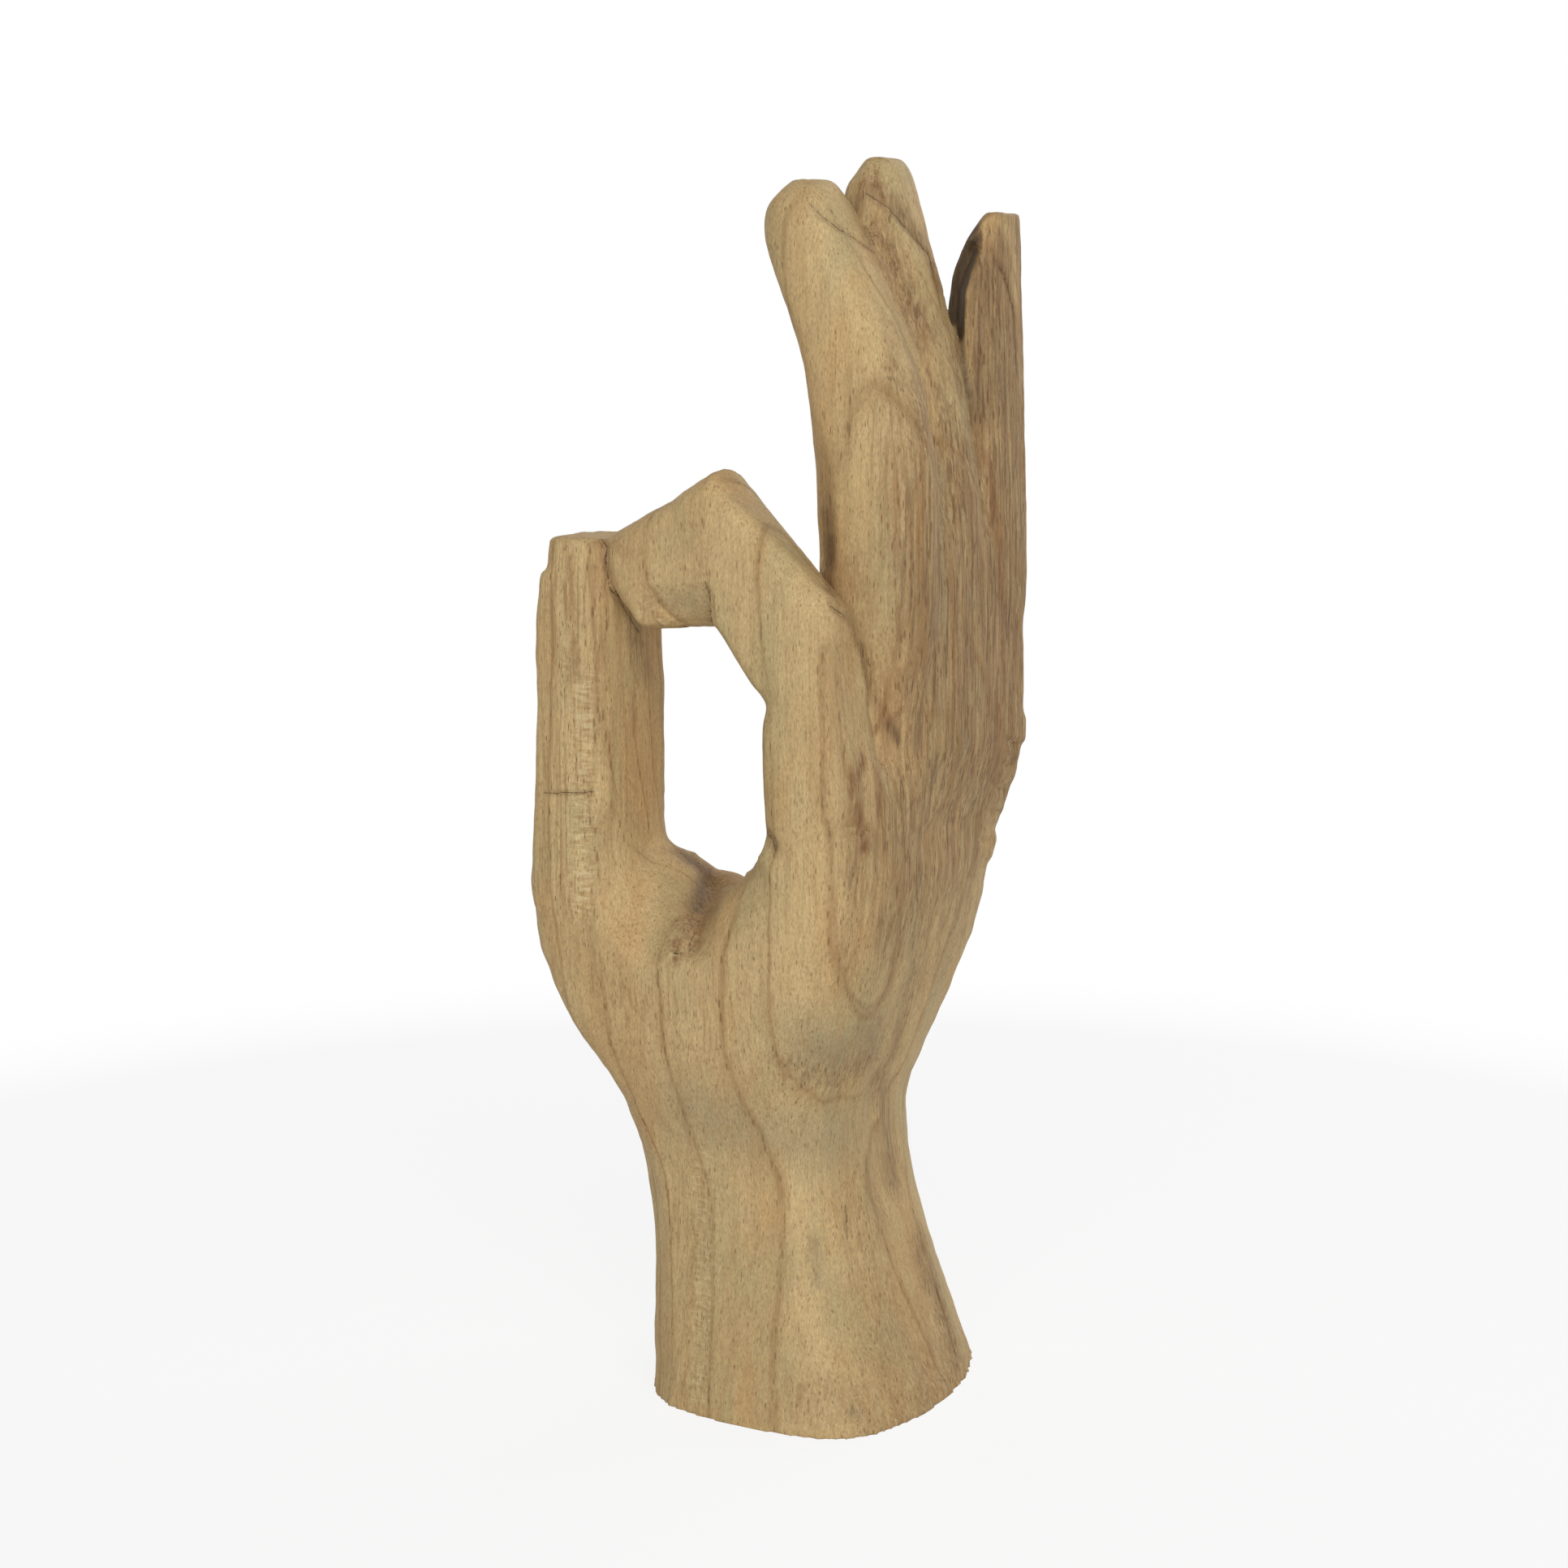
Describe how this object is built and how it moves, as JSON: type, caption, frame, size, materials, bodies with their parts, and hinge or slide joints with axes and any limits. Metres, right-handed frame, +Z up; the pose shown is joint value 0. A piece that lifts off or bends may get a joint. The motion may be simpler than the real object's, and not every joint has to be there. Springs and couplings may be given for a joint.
{
  "type": "hand gesture sculpture",
  "caption": "Carved wooden hand standing on its flat forearm, thumb and bent index finger closed into a ring, the other fingers raised.",
  "frame": {"origin": "on the flat foot, within 3 mm of its centre, on the surface that the sculpture stands on", "axes": "+Z up from the foot to the fingertips, -X towards the palm side and the thumb, +X towards the back of the hand, -Y towards the index finger's side, +Y towards the little finger's side"},
  "size_m": [0.0905, 0.0832, 0.284],
  "materials": {
    "pale_hardwood": "sanded, unvarnished, open pores and growth rings along the hand"
  },
  "bodies": {
    "root": {"carved_hand": "pale_hardwood"}
  },
  "joints": []
}
